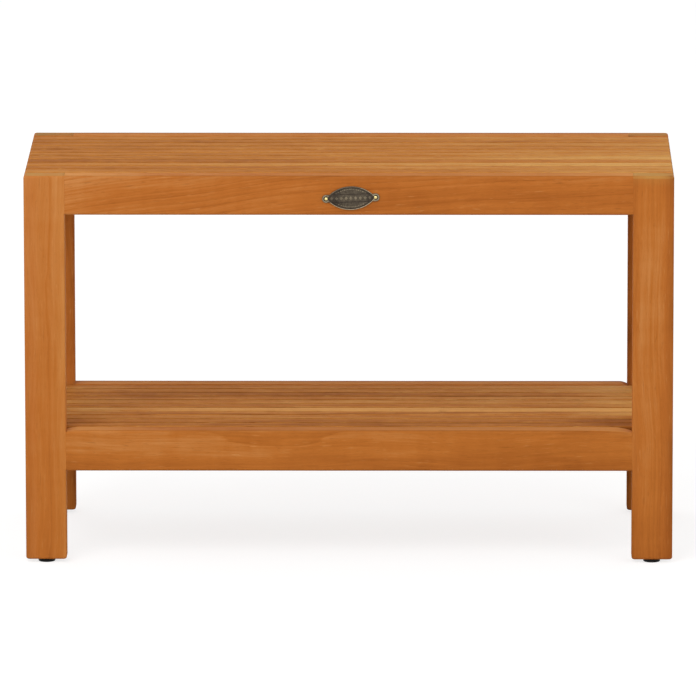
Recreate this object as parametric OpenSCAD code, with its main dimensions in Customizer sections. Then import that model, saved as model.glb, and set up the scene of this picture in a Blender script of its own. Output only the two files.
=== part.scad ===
// Slatted bench with a lower shelf, standing on four screw-in levelling feet.
// X runs along the bench, Y from front to back and Z up, in millimetres.
// The origin is on the floor under the middle of the bench, with the feet screwed fully in.

/* [Bench] */
// Length of the bench over the legs
bench_w = 762; // [620:1:920]
// Depth of the bench over the legs
bench_d = 305; // [275:1:380]
// Height of the seat above the floor
bench_h = 463; // [400:1:540]
// Height of the shelf above the floor
shelf_h = 159; // [110:1:240]

/* [Legs and rails] */
// Width of a leg, seen from the front
leg_w = 48; // [43:0.5:60]
// Depth of a leg, seen from the side
leg_d = 25; // [22.5:0.5:32]
// Thickness of the front and rear rails
rail_t = 25; // [22.5:0.5:32]
// Height of the seat's front and rear rails
seat_rail_h = 46.5; // [41:0.5:60]
// Height of the shelf's front and rear rails
shelf_rail_h = 48.5; // [43:0.5:60]
// Thickness of the rails under the slat ends
side_rail_t = 25; // [23:0.5:32]
// Thickness of the battens under the middle of the slats
batten_t = 25; // [23:0.5:40]
// Radius of the eased long edges of legs and rails
arris_r = 2.5; // [0.5:0.1:4]
// Radius of the corners at a leg's ends, seen from the front
leg_end_r = 3; // [0.5:0.1:5]

/* [Slats] */
// Slats in each deck
slat_count = 11; // [9:1:12]
// Width of a slat
slat_w = 19; // [14:0.5:22]
// Thickness of a slat
slat_t = 16; // [14:0.5:20]
// Radius of a slat's long edges
slat_arris_r = 1.4; // [0.5:0.1:4]
// Radius of a slat's end edges
slat_end_r = 3; // [0.5:0.1:5]

/* [Dowels] */
// Radius of the dowels in the long rails
rail_dowel_r = 5; // [4:0.5:6]
// Length of the dowels in the long rails
rail_dowel_l = 48; // [36:1:52]
// Distance between the two dowels of a long rail's joint
rail_dowel_spacing = 22; // [14:1:26]
// Radius of the dowels in side rails and battens
side_dowel_r = 4; // [3:0.5:4.5]
// Length of the dowels in side rails and battens
side_dowel_l = 36; // [30:1:44]
// How far these dowels reach into a leg or a long rail
side_dowel_bite = 16; // [12:1:20]
// Distance between the two dowels of a side rail's or batten's joint
side_dowel_spacing = 14; // [10:1:16]
// Distance of these dowels, and of the slat screws, from the middle of the board's thickness
row_offset = 5.5; // [5:0.25:6]
// Radial clearance of a dowel in its hole
dowel_clearance = 0.1; // [0.05:0.01:0.2]
// Clearance at the end of a dowel
dowel_end_clearance = 0.5; // [0.2:0.1:1]

/* [Slat screws] */
// Length of a slat screw under its head
screw_l = 30; // [26:1:34]
// Radius of a slat screw
screw_r = 2.1; // [1.5:0.1:2.5]
// Radius of a slat screw's head
screw_head_r = 4; // [3:0.1:4.2]
// Height of a slat screw's head
screw_head_h = 2.4; // [1.5:0.1:3]
// How far a slat screw reaches into its slat
screw_bite = 11; // [8:0.5:13]
// Length of a slat screw's point
screw_point_l = 4; // [2:0.5:6]
// Radial clearance of a slat screw in its hole
screw_clearance = 0.1; // [0.05:0.01:0.3]
// Radial clearance of a screw head in its counterbore
head_clearance = 0.3; // [0.1:0.05:0.4]

/* [Feet] */
// Height of the leg ends above the floor
foot_h = 4; // [3.7:0.1:6]
// Height of a foot pad
pad_h = 3.7; // [3.4:0.1:5.5]
// Radius of a foot pad
pad_r = 10; // [9:0.5:12]
// Bevel around a foot pad's lower edge
pad_bevel = 0.8; // [0.3:0.1:1.2]
// Radius of the key hole in a foot pad
key_hole_r = 3; // [2.5:0.1:4]
// Thickness of a foot pad's floor under the stud
pad_floor = 1.2; // [0.8:0.1:1.4]
// Radius of a foot stud's thread
stud_r = 3.9; // [3:0.1:4.5]
// Height of a foot stud's top end above the floor
stud_top = 31; // [26:0.5:36]
// Radius of the flange on a foot stud
stud_flange_r = 5.6; // [5:0.1:7]
// Thickness of the flange on a foot stud
stud_flange_t = 1.2; // [0.8:0.1:1.4]
// Width across the flats of the key socket in a foot stud
socket_flats = 4; // [3:0.5:4.5]
// Depth of the key socket in a foot stud
socket_depth = 3; // [2:0.5:5]
// Radius of a threaded insert
insert_r = 6; // [5.5:0.1:7]
// Length of a threaded insert
insert_l = 20; // [16:0.5:22]
// Radius of a threaded insert's flange
insert_flange_r = 8.5; // [7.5:0.1:9.5]
// Thickness of a threaded insert's flange
insert_flange_t = 1.5; // [1:0.1:2]
// Running clearance of a foot's turning pieces
running_clearance = 0.08; // [0.04:0.01:0.1]
// Clearance of a threaded insert in the leg
insert_clearance = 0.1; // [0.05:0.01:0.2]
// Free depth of the leg's bore past the stud
stud_headroom = 2; // [1:0.5:4]

/* [Plaque] */
// Distance of the plaque's middle to the right of the bench's middle
plaque_x = 2.5; // [-200:0.5:200]
// Distance of the plaque's middle under the seat
plaque_drop = 26; // [22:0.5:28]
// Turn of the plaque, right end up
plaque_tilt = 1.8; // [0:0.1:4]
// Length of the plaque's eye shape
plaque_l = 59; // [50:0.5:70]
// Height of the plaque's eye shape
plaque_h = 28; // [22:0.5:32]
// Thickness of the plaque
plaque_t = 1.2; // [0.8:0.1:2]
// Width of the plaque's raised rim
rim_w = 1.3; // [0.8:0.1:2]
// Height of the plaque's raised rim and band
rim_h = 0.5; // [0.3:0.1:1]
// Height of the raised band across the plaque
band_h = 9; // [6:0.5:12]
// Radius of the ears at the plaque's ends
ear_r = 4.8; // [4.4:0.1:6]
// Distance between the two pins
pin_spacing = 58; // [50:0.5:66]
// Radius of a pin
pin_r = 0.9; // [0.6:0.1:1.2]
// How far a pin reaches into the rail
pin_bite = 9; // [6:0.5:12]
// Radius of a pin's head
pin_head_r = 2; // [1.6:0.1:2.6]
// Height of a pin's domed head
pin_head_h = 1.1; // [0.7:0.1:1.5]
// Radial clearance of a pin in its hole
pin_clearance = 0.08; // [0.04:0.01:0.15]

/* [Colours] */
// Colour of the legs and long rails
teak_colour = "#b3692d";
// Colour of the slats
slat_colour = "#be7a42";
// Colour of the boards out of sight
inner_colour = "#a86a34";
// Colour of the dowels
dowel_colour = "#c9a06a";
// Colour of the plaque
plaque_colour = "#6b5f4e";

/* [Hidden] */
$fn = 48;

slat_numbers = [for (i = [1:slat_count]) i];
ends = ["left", "right"];
faces = ["front", "rear"];
corners = [for (face = faces, end = ends) str(face, "_", end)];
decks = ["seat", "shelf"];

// A hole starts this far outside the face that it enters.
cut = 1;

// Half sizes that many places are set out from.
half_w = bench_w / 2;
half_d = bench_d / 2;
leg_l = bench_h - foot_h;
leg_x = half_w - leg_w / 2;
leg_y = half_d - leg_d / 2;
long_rail_l = bench_w - 2 * leg_w;
long_rail_y = half_d - rail_t / 2;
side_rail_l = bench_d - 2 * leg_d;
side_rail_x = half_w - side_rail_t / 2;
batten_l = bench_d - 2 * rail_t;

// The slats share the depth between the legs and rails, with equal gaps.
deck_d = bench_d - 2 * max(leg_d, rail_t);
slat_gap = (deck_d - slat_count * slat_w) / (slat_count + 1);
slat_pitch = slat_w + slat_gap;

// The screws stand in a row on the inner side of each board, the dowels on the outer side.
screw_xs = [-side_rail_x + row_offset, -row_offset, side_rail_x - row_offset];
screw_hole_r = screw_r + screw_clearance;
head_hole_r = screw_head_r + head_clearance;

// Levels inside a foot, from the floor up.
flange_z = pad_floor + running_clearance;
flange_top = flange_z + stud_flange_t;
insert_z = foot_h;
stud_bore_r = stud_r + running_clearance;

// The plaque's outline is where two equal circles overlap.
plaque_z = bench_h - plaque_drop;
eye_r = (plaque_l * plaque_l / 4 + plaque_h * plaque_h / 4) / plaque_h;

function deck_top(deck) = deck == "seat" ? bench_h : shelf_h;
function deck_rail_h(deck) = deck == "seat" ? seat_rail_h : shelf_rail_h;
// Side rails and battens lie under the slats, and end level with the long rails.
function support_h(deck) = deck_rail_h(deck) - slat_t;
function support_z(deck) = deck_top(deck) - slat_t - support_h(deck) / 2;
function rail_z(deck) = deck_top(deck) - deck_rail_h(deck) / 2;
function slat_y(i) = -deck_d / 2 + slat_gap + slat_w / 2 + (i - 1) * slat_pitch;
function end_sign(end) = end == "left" ? -1 : 1;
function face_sign(face) = face == "front" ? -1 : 1;
// Level of a screw head's seat in the board that it goes through
function screw_seat_z(deck) = deck_top(deck) - slat_t + screw_bite - screw_l;

// A rectangle about the origin with its four corners rounded
module eased_rectangle(a, b, r) {
  square([a - 2 * r, b], center = true);
  square([a, b - 2 * r], center = true);
  for (sx = [-1, 1], sy = [-1, 1])
    translate([sx * (a / 2 - r), sy * (b / 2 - r)])
      circle(r);
}

// Carries an outline drawn in X and Y into a bar along X, with the outline's Y as height
module along_x(l) {
  rotate([90, 0, 90])
    linear_extrude(l, center = true)
      children();
}

// Carries an outline drawn in X and Y into a bar along Y, with the outline's Y as height
module along_y(l) {
  rotate([90, 0, 0])
    linear_extrude(l, center = true)
      children();
}

// A board with every edge eased, about the origin
module eased_board(size, plan_r, side_r, end_r) {
  intersection() {
    linear_extrude(size.z, center = true)
      eased_rectangle(size.x, size.y, plan_r);
    along_y(size.y)
      eased_rectangle(size.x, size.z, side_r);
    along_x(size.x)
      eased_rectangle(size.y, size.z, end_r);
  }
}

// The outline of a deck's long rail, seen from the end
module long_rail_outline(deck) {
  eased_rectangle(rail_t, deck_rail_h(deck), arris_r);
}

// The outline of a board under the slats, of thickness t, seen from the end
module support_outline(deck, t) {
  eased_rectangle(t, support_h(deck), arris_r);
}

// A rod along Z of a given radius, from one level to another
module rod(r, from, to) {
  translate([0, 0, from])
    cylinder(r = r, h = to - from);
}

// Puts its children on both sides of a joint's middle level
module pair_in_height(spacing) {
  for (s = [-1, 1])
    translate([0, 0, s * spacing / 2])
      children();
}

// Two dowels that reach from a long rail's end into the leg, along X, longer by extra at each end
module rail_joint(deck, face, end, r, extra) {
  translate([end_sign(end) * (half_w - leg_w), face_sign(face) * long_rail_y, rail_z(deck)])
    pair_in_height(rail_dowel_spacing)
      rotate([0, 90, 0])
        rod(r, -rail_dowel_l / 2 - extra, rail_dowel_l / 2 + extra);
}

// Two dowels that reach from a board's end at x, y into what the end meets, along Y
module side_joint(deck, face, x, y, r, extra) {
  translate([x, face_sign(face) * y, support_z(deck)])
    pair_in_height(side_dowel_spacing)
      rotate([-90 * face_sign(face), 0, 0])
        rod(r, side_dowel_bite - side_dowel_l - extra, side_dowel_bite + extra);
}

module side_rail_joint(deck, face, end, r, extra) {
  side_joint(deck, face, end_sign(end) * (side_rail_x + row_offset), half_d - leg_d, r, extra);
}

module batten_joint(deck, face, r, extra) {
  side_joint(deck, face, row_offset, half_d - rail_t, r, extra);
}

rail_hole_r = rail_dowel_r + dowel_clearance;
side_hole_r = side_dowel_r + dowel_clearance;

// The leg's bore takes the insert's flange, the insert and the stud's free end.
module foot_bore() {
  rod(insert_flange_r + insert_clearance, foot_h - cut, insert_z + insert_flange_t + insert_clearance);
  rod(insert_r + insert_clearance, foot_h, insert_z + insert_l + insert_clearance);
  rod(stud_r + insert_clearance, foot_h, stud_top + stud_headroom);
}

// Where a rail meets the leg, the leg's edge is left square, and the faces run on without a groove.
module square_edges(face, end) {
  eased = max(arris_r, leg_end_r);
  for (deck = decks) {
    translate([end_sign(end) * (half_w - leg_w + eased / 2), face_sign(face) * long_rail_y, rail_z(deck)])
      along_x(eased)
        long_rail_outline(deck);
    translate([end_sign(end) * side_rail_x, face_sign(face) * (half_d - leg_d + arris_r / 2), support_z(deck)])
      along_y(arris_r)
        support_outline(deck, side_rail_t);
  }
}

module leg(face, end) {
  color(teak_colour)
    difference() {
      union() {
        translate([end_sign(end) * leg_x, face_sign(face) * leg_y, foot_h + leg_l / 2])
          eased_board([leg_w, leg_d, leg_l], arris_r, leg_end_r, arris_r);
        square_edges(face, end);
      }
      for (deck = decks) {
        rail_joint(deck, face, end, rail_hole_r, dowel_end_clearance);
        side_rail_joint(deck, face, end, side_hole_r, dowel_end_clearance);
      }
      translate([end_sign(end) * leg_x, face_sign(face) * leg_y, 0])
        foot_bore();
    }
}

// A front or rear rail, square at its ends, where it meets the legs
module long_rail(deck, face) {
  difference() {
    translate([0, face_sign(face) * long_rail_y, rail_z(deck)])
      along_x(long_rail_l)
        long_rail_outline(deck);
    for (end = ends)
      rail_joint(deck, face, end, rail_hole_r, dowel_end_clearance);
    batten_joint(deck, face, side_hole_r, dowel_end_clearance);
  }
}

module seat_front_rail() {
  color(teak_colour)
    difference() {
      long_rail("seat", "front");
      on_plaque()
        at_pins()
          rod(pin_r + pin_clearance, -pin_bite - pin_clearance, cut);
    }
}

module plain_long_rail(deck, face) {
  color(teak_colour)
    long_rail(deck, face);
}

// Holes for one row of slat screws, counterbored for the heads from beneath
module screw_holes(deck, x) {
  for (i = slat_numbers)
    translate([x, slat_y(i), 0]) {
      rod(screw_hole_r, screw_seat_z(deck), deck_top(deck) - slat_t + cut);
      rod(head_hole_r, deck_top(deck) - deck_rail_h(deck) - cut, screw_seat_z(deck));
    }
}

module side_rail(deck, end) {
  color(inner_colour)
    difference() {
      translate([end_sign(end) * side_rail_x, 0, support_z(deck)])
        along_y(side_rail_l)
          support_outline(deck, side_rail_t);
      for (face = faces)
        side_rail_joint(deck, face, end, side_hole_r, dowel_end_clearance);
      screw_holes(deck, end_sign(end) * (side_rail_x - row_offset));
    }
}

module batten(deck) {
  color(inner_colour)
    difference() {
      translate([0, 0, support_z(deck)])
        along_y(batten_l)
          support_outline(deck, batten_t);
      for (face = faces)
        batten_joint(deck, face, side_hole_r, dowel_end_clearance);
      screw_holes(deck, -row_offset);
    }
}

module slat(deck, i) {
  color(slat_colour)
    difference() {
      translate([0, slat_y(i), deck_top(deck) - slat_t / 2])
        eased_board([bench_w, slat_w, slat_t], slat_end_r, slat_end_r, slat_arris_r);
      for (x = screw_xs)
        translate([x, slat_y(i), deck_top(deck) - slat_t])
          rod(screw_hole_r, -cut, screw_bite + screw_clearance);
    }
}

module rail_dowels(deck) {
  color(dowel_colour)
    for (face = faces, end = ends)
      rail_joint(deck, face, end, rail_dowel_r, 0);
}

module side_dowels(deck) {
  color(dowel_colour)
    for (face = faces) {
      for (end = ends)
        side_rail_joint(deck, face, end, side_dowel_r, 0);
      batten_joint(deck, face, side_dowel_r, 0);
    }
}

// A screw with its head's seat at the origin, pointing up
module slat_screw() {
  rotate_extrude()
    polygon([
      [0, -screw_head_h],
      [screw_head_r * 0.6, -screw_head_h],
      [screw_head_r, -screw_head_h * 0.4],
      [screw_head_r, 0],
      [screw_r, 0],
      [screw_r, screw_l - screw_point_l],
      [0, screw_l]
    ]);
}

module slat_screws(deck) {
  color("silver")
    for (x = screw_xs, i = slat_numbers)
      translate([x, slat_y(i), screw_seat_z(deck)])
        slat_screw();
}

module leg_inserts() {
  color("goldenrod")
    for (sx = [-1, 1], sy = [-1, 1])
      translate([sx * leg_x, sy * leg_y, insert_z])
        difference() {
          union() {
            rod(insert_flange_r, 0, insert_flange_t);
            rod(insert_r, 0, insert_l);
          }
          rod(stud_bore_r, -cut, insert_l + cut);
        }
}

// A swivelling pad, with a pocket that holds the stud's flange and a hole for the key
module foot_pad(face, end) {
  color("#222222")
    translate([end_sign(end) * leg_x, face_sign(face) * leg_y, 0])
      difference() {
        rotate_extrude()
          polygon([
            [0, 0],
            [pad_r - pad_bevel, 0],
            [pad_r, pad_bevel],
            [pad_r, pad_h],
            [0, pad_h]
          ]);
        rod(key_hole_r, -cut, pad_floor + cut);
        rod(stud_flange_r + running_clearance, pad_floor, flange_top + running_clearance);
        rod(stud_bore_r, flange_top, pad_h + cut);
      }
}

module foot_stud(face, end) {
  color("silver")
    translate([end_sign(end) * leg_x, face_sign(face) * leg_y, 0])
      difference() {
        union() {
          rod(stud_flange_r, flange_z, flange_top);
          rod(stud_r, flange_z, stud_top);
        }
        translate([0, 0, flange_z - cut])
          cylinder(r = socket_flats / sqrt(3), h = socket_depth + cut, $fn = 6);
      }
}

// Sets its children on the rail's front face, with their Y up and their Z out of the face
module on_plaque() {
  translate([plaque_x, -half_d, plaque_z])
    rotate([90, 0, 0])
      rotate([0, 0, plaque_tilt])
        children();
}

module at_pins() {
  for (s = [-1, 1])
    translate([s * pin_spacing / 2, 0, 0])
      children();
}

// The eye shape, where two circles overlap, drawn in from its outline by inset
module eye(inset) {
  rise = eye_r - plaque_h / 2;
  intersection() {
    translate([0, rise])
      circle(eye_r - inset, $fn = 120);
    translate([0, -rise])
      circle(eye_r - inset, $fn = 120);
  }
}

module plaque() {
  color(plaque_colour)
    on_plaque()
      difference() {
        union() {
          linear_extrude(plaque_t) {
            eye(0);
            at_pins()
              circle(ear_r);
          }
          linear_extrude(plaque_t + rim_h)
            difference() {
              eye(0);
              eye(rim_w);
            }
          linear_extrude(plaque_t + rim_h)
            intersection() {
              eye(0);
              square([plaque_l, band_h], center = true);
            }
        }
        at_pins()
          rod(pin_r + pin_clearance, -cut, plaque_t + rim_h + cut);
        at_pins()
          rod(pin_head_r + pin_clearance, plaque_t, plaque_t + rim_h + cut);
      }
}

// A pin whose domed head is the cap of a ball
module plaque_pins() {
  head_ball_r = (pin_head_r * pin_head_r + pin_head_h * pin_head_h) / (2 * pin_head_h);
  color("gold")
    on_plaque()
      at_pins()
        translate([0, 0, plaque_t]) {
          intersection() {
            translate([0, 0, pin_head_h - head_ball_r])
              sphere(head_ball_r);
            rod(pin_head_r + cut, 0, pin_head_h + cut);
          }
          rod(pin_r, -plaque_t - pin_bite, 0.1);
        }
}

for (face = faces, end = ends) {
  corner = str(face, "_", end);
  leg(face, end);
  foot_pad(face, end);
  foot_stud(face, end);
}
for (deck = decks) {
  for (end = ends)
    side_rail(deck, end);
  for (i = slat_numbers)
    slat(deck, i);
  plain_long_rail(deck, "rear");
  batten(deck);
  rail_dowels(deck);
  side_dowels(deck);
  slat_screws(deck);
}
seat_front_rail();
plain_long_rail("shelf", "front");  // shelf_front_rail
leg_inserts();
plaque();
plaque_pins();
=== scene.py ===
# Looks of a slatted bench with a lower shelf: oiled boards, metal fittings, plaque and moulded feet.
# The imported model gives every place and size; lengths here are in metres unless a name says mm.
import bpy
import math
import numpy as np
from mathutils import Matrix, Vector


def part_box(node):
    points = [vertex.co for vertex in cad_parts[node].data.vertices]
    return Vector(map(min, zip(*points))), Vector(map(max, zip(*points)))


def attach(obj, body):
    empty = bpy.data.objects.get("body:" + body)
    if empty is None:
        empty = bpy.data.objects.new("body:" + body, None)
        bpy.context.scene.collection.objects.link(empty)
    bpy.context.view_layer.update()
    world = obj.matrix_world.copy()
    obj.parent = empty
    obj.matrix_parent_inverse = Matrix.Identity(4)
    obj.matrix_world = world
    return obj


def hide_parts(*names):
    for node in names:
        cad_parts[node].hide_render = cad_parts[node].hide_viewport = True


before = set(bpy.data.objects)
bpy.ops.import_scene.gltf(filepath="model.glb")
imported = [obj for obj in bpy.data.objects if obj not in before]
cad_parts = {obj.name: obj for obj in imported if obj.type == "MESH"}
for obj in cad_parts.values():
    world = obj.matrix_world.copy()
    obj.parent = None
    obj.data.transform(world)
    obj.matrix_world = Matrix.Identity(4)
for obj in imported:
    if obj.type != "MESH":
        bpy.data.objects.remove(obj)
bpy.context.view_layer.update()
print("frame loaded:", len(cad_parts), "nodes")

mm = 0.001
decks = ["seat", "shelf"]
faces = ["front", "rear"]
corners = [face + "_" + end for face in faces for end in ("left", "right")]
slatNumbers = range(1, 12)


def linearColour(code):
    # sRGB hex to linear light: c / 12.92 for dark channels, ((c + 0.055) / 1.055) ^ 2.4 for the others
    srgb = np.array([int(code[i:i + 2], 16) for i in (1, 3, 5)]) / 255
    linear = np.where(srgb <= 0.04045, srgb / 12.92, ((srgb + 0.055) / 1.055) ** 2.4)
    return (*linear.tolist(), 1.0)


def nodeAdder(owner):
    # Empties the node tree of a material or a world, and gives the function that adds one node to it. "Math FLOOR"
    # is a Math node set to FLOOR. Inputs, by name or in order, are values, hex colours or sockets to link to.
    owner.use_nodes = True
    tree = owner.node_tree
    tree.nodes.clear()

    def add(kind, inputs={}, **settings):
        kind, _, operation = kind.partition(" ")
        node = tree.nodes.new("ShaderNode" + kind)
        if operation:
            node.operation = operation
        for key, value in settings.items():
            setattr(node, key, value)
        for key, value in inputs.items() if isinstance(inputs, dict) else enumerate(inputs):
            if isinstance(value, bpy.types.NodeSocket):
                tree.links.new(value, node.inputs[key])
            else:
                node.inputs[key].default_value = linearColour(value) if isinstance(value, str) else value
        return node.outputs

    return add


def newMaterial(name):
    # A material without nodes, its adder of nodes, and its Object coordinates
    material = bpy.data.materials.new(name)
    add = nodeAdder(material)
    return material, add, add("TexCoord")["Object"]


def finishMaterial(add, inputs):
    # One Principled shader with these inputs, and the output that shows it
    add("OutputMaterial", add("BsdfPrincipled", inputs)[:1])


def newObject(name, data):
    made = bpy.data.objects.new(name, data)
    bpy.context.scene.collection.objects.link(made)
    return made


def boxOf(node):
    # The node's lowest and highest corners, as arrays
    return map(np.array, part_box(node))


def smoothStep(x, low, high):
    # 3t^2 - 2t^3 of t, where t runs from 0 at low to 1 at high
    t = np.clip((x - low) / (high - low), 0, 1)
    return t * t * (3 - 2 * t)


def wander(x, seed, lengths):
    # A smooth line of chance between -1 and 1: the mean of one sine for each wave length, phases from the seed
    phases = np.random.default_rng(seed).uniform(0, 2 * np.pi, len(lengths))
    return sum(np.sin(2 * np.pi * x / length + phase) for length, phase in zip(lengths, phases)) / len(lengths)


def camelName(node, kind):
    # "front_left" and "Leg" give "frontLeftLeg"
    first, *others = node.split("_")
    return first + "".join(word.capitalize() for word in others) + kind


def withPoles(rings):
    # All points of the rings, then the middle of the first ring and the middle of the last
    return np.concatenate([rings.reshape(-1, 3), rings[0].mean(0)[None], rings[-1].mean(0)[None]])


def ringSurface(name, rings, attributes={}, closed=False):
    # Rings of equally many points, joined by quads to a skin. The ends are closed by a pole each,
    # or the last ring joins the first where closed is true. Points run anticlockwise seen from the last ring.
    count, around = rings.shape[:2]
    points = rings.reshape(-1, 3) if closed else withPoles(rings)
    index = np.arange(count * around).reshape(count, around)
    present, following = (index, np.roll(index, -1, axis=0)) if closed else (index[:-1], index[1:])
    quads = np.stack([present, np.roll(present, -1, 1), np.roll(following, -1, 1), following], -1).reshape(-1, 4)
    corner, sizes = quads.ravel(), np.full(len(quads), 4)
    if not closed:
        startFan = np.stack([np.full(around, len(points) - 2), np.roll(index[0], -1), index[0]], -1)
        endFan = np.stack([np.full(around, len(points) - 1), index[-1], np.roll(index[-1], -1)], -1)
        corner = np.concatenate([corner, startFan.ravel(), endFan.ravel()])
        sizes = np.concatenate([sizes, np.full(2 * around, 3)])
    mesh = bpy.data.meshes.new(name)
    mesh.vertices.add(len(points))
    mesh.vertices.foreach_set("co", points.ravel().astype(np.float32))
    mesh.loops.add(len(corner))
    mesh.loops.foreach_set("vertex_index", corner.astype(np.int32))
    mesh.polygons.add(len(sizes))
    mesh.polygons.foreach_set("loop_start", (np.cumsum(sizes) - sizes).astype(np.int32))
    mesh.update(calc_edges=True)
    mesh.polygons.foreach_set("use_smooth", np.ones(len(sizes), bool))
    for key, values in attributes.items():
        values = np.asarray(values, np.float32)
        kind, field = ("FLOAT_VECTOR", "vector") if values.ndim == 2 else ("FLOAT", "value")
        mesh.attributes.new(key, kind, "POINT").data.foreach_set(field, values.ravel())
    mesh.validate()
    return newObject(name, mesh)


def fullTurn(count, start=0):
    # Evenly spaced angles all round
    return start + np.linspace(0, 2 * np.pi, count, endpoint=False)


def turnedRings(middle, angle, steps):
    # Rings round an upright axis: middle + (radius * cos, radius * sin, height) for each (radius, height) of the
    # steps, where a radius is one number or one for each angle.
    radii = np.array([np.broadcast_to(radius, len(angle)) for radius, height in steps])
    level = np.array([height for radius, height in steps])[:, None]
    return np.stack([middle[0] + radii * np.cos(angle), middle[1] + radii * np.sin(angle),
                     middle[2] + np.broadcast_to(level, radii.shape)], -1)


def dress(piece, body, slot, material, *nodes):
    # Gives a new piece its material and its body, and hides the CAD nodes that it stands for. Its slot is not used.
    piece.data.materials.append(material)
    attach(piece, body)
    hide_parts(*nodes)


# What a user would change on the boards: eased edges as in the solids, and how uneven a hand-sanded edge is.
boardLook = {
    "arris": 2.5 * mm, "legEnd": 3.0 * mm, "slatArris": 1.4 * mm, "slatEnd": 3.0 * mm,
    "jointArris": 0.25 * mm,     # what is left of an arris where two boards meet flush
    "sanding": 0.25 * mm,        # how much an eased edge varies along a board
    "slatStep": 0.15 * mm,       # how much lower one slat's top may lie than the next one's
    "arrisWear": 0.035,          # how far eased edges are worn pale
    "besideLeg": (74 * mm, 82 * mm),      # where the painted shade beside the legs ends, from a slat's end
    "sideFacing": (0.45, 0.95),           # how far a point faces sideways where gap sides start and are full
    "cornerPoints": 7, "station": 18 * mm,
    "sideShares": np.array([0.02, 0.07, 0.2, 0.35, 0.5, 0.65, 0.8, 0.93, 0.98]),
}
cornerSigns = np.array([[1, 1], [-1, 1], [-1, -1], [1, -1]])


def outlineRings(low, high, radii):
    # For each ring a rectangle from low to high with four quarter circles as corners, anticlockwise from the
    # corner at high: corner centre + radius * (cos, sin), joined by straight sides with points at sideShares.
    angle = np.arange(4)[:, None] * np.pi / 2 + np.linspace(0, np.pi / 2, boardLook["cornerPoints"])
    centre = np.where(cornerSigns > 0, high[:, None], low[:, None]) - cornerSigns * radii[..., None]
    arc = centre[:, :, None] + radii[:, :, None, None] * np.stack([np.cos(angle), np.sin(angle)], -1)
    share = boardLook["sideShares"][:, None]
    side = arc[:, :, -1:] * (1 - share) + np.roll(arc, -1, 1)[:, :, :1] * share
    return np.concatenate([arc, side], 2).reshape(len(low), -1, 2)


def roundIn(distance, radius):
    # How far a quarter circle stands in from the flat at this distance from the end: r - sqrt(r^2 - (r - d)^2)
    left = np.clip(radius - distance, 0, radius)
    return radius - np.sqrt(np.maximum(radius ** 2 - left ** 2, 0))


def sanded(radius, t, seed, lengths):
    # An eased edge's radius along the board: radius + sanding * wander
    return radius + boardLook["sanding"] * wander(t, seed, lengths)


def stations(length, radius, square=False):
    # Distances along a board, close together round its ends: the arc's steps, one just past it, then even steps.
    steps = radius * (1 - np.cos(np.linspace(0, np.pi / 2, 8)[1:])) if not square else np.array([0.12, 0.5]) * mm
    start = np.concatenate([[0], steps, [steps[-1] + 0.7 * mm]])
    middle = np.linspace(start[-1], length - start[-1], max(4, int(length / boardLook["station"])))
    return np.concatenate([start, middle[1:-1], (length - start)[::-1]])


def drawnIn(ring, shares):
    # The ring drawn in to its middle by each of the shares
    return ring.mean(0) + (ring - ring.mean(0)) * np.array(shares)[:, None, None]


def alongBoard(share, values):
    # Straight lines through evenly spaced values, from the board's start at share 0 to its end at share 1
    return np.interp(share, np.linspace(0, 1, len(values)), values)


def grainAttributes(points, axis, centre, grain, length):
    # Grain coordinates of each point: along the board, and across and through it from the pith. The pith's line
    # lies at a given offset and drifts across the board by slope * along + bend * along^2, sine waves added.
    along = points[:, axis] - centre[axis]
    across, through = (points[:, i] - centre[i] for i in range(3) if i != axis)
    if grain.get("turned"):
        across, through = through, across
    seed = grain["seed"]
    drift = grain["slope"] * along + grain["bend"] * along ** 2
    drift = drift + grain["wave"] * wander(along, seed, (0.9, 0.37, 0.21))
    lean = 0.4 * grain["wave"] * wander(along, seed + 50, (1.1, 0.5))
    shift = np.random.default_rng(seed).uniform(2, 40)
    # The tone runs through the given values from the board's start to its end, and beside the legs it is raised as
    # painted shade or lowered as painted light. It and the redness also change across the board, beyond edges that
    # wander.
    tone = alongBoard(along / length + 0.5, grain["tone"])
    for side, darker in zip((-1, 1), grain.get("byLeg", ())):
        tone = tone + darker * smoothStep(side * along, length / 2 - 150 * mm, length / 2 - 62 * mm)
    red = np.full_like(tone, grain["red"])
    for darker, redder, side, edge in grain.get("sides", ()):
        line = side * (across - edge) + 2.5 * mm * wander(along, seed + 9, (0.33, 0.14, 0.07))
        share = smoothStep(line, -4 * mm, 6 * mm)
        tone = tone + darker * share
        red = red + redder * share
    return {
        "grain": np.stack([along + shift, across - drift - grain["pith"][0], through - lean - grain["pith"][1]], -1),
        "board": np.stack([tone, red, np.full_like(tone, grain["endTone"])], -1),
        "figure": np.full_like(tone, grain["figure"]),
    }


def finishBoard(name, rings, axis, grain, slot, material, node, shares):
    # Makes the board's mesh with its grain coordinates, and with each point's shares of end grain, of wear with
    # painted highlight, and of painted shade on the sides in the gaps and on shaded edges. The two poles of the skin
    # are end grain.
    low, high = rings.min((0, 1)), rings.max((0, 1))
    attributes = grainAttributes(withPoles(rings), axis, (low + high) / 2, grain, high[axis] - low[axis])
    for key, share in shares.items():
        poles = [key == "endGrain"] * 2
        attributes[key] = np.concatenate([np.broadcast_to(share, rings.shape[:2]).ravel(), poles])
    dress(ringSurface(name, rings, attributes), "frame", slot, material, node)


def outlineShares():
    # For the points of one outline: 1 in the middle of each corner's arc and 0 on the flats, sin(2t) of the arc's
    # angle t, and how far each point faces sideways, which is |cos t| on the arcs and 0 or 1 on the flats.
    turn = np.linspace(0, np.pi / 2, boardLook["cornerPoints"])
    flat = np.zeros(len(boardLook["sideShares"]))
    arris = np.tile(np.concatenate([np.sin(2 * turn), flat]), 4)
    return arris, np.concatenate([np.cos(turn), flat, np.sin(turn), flat + 1] * 2)


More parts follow.
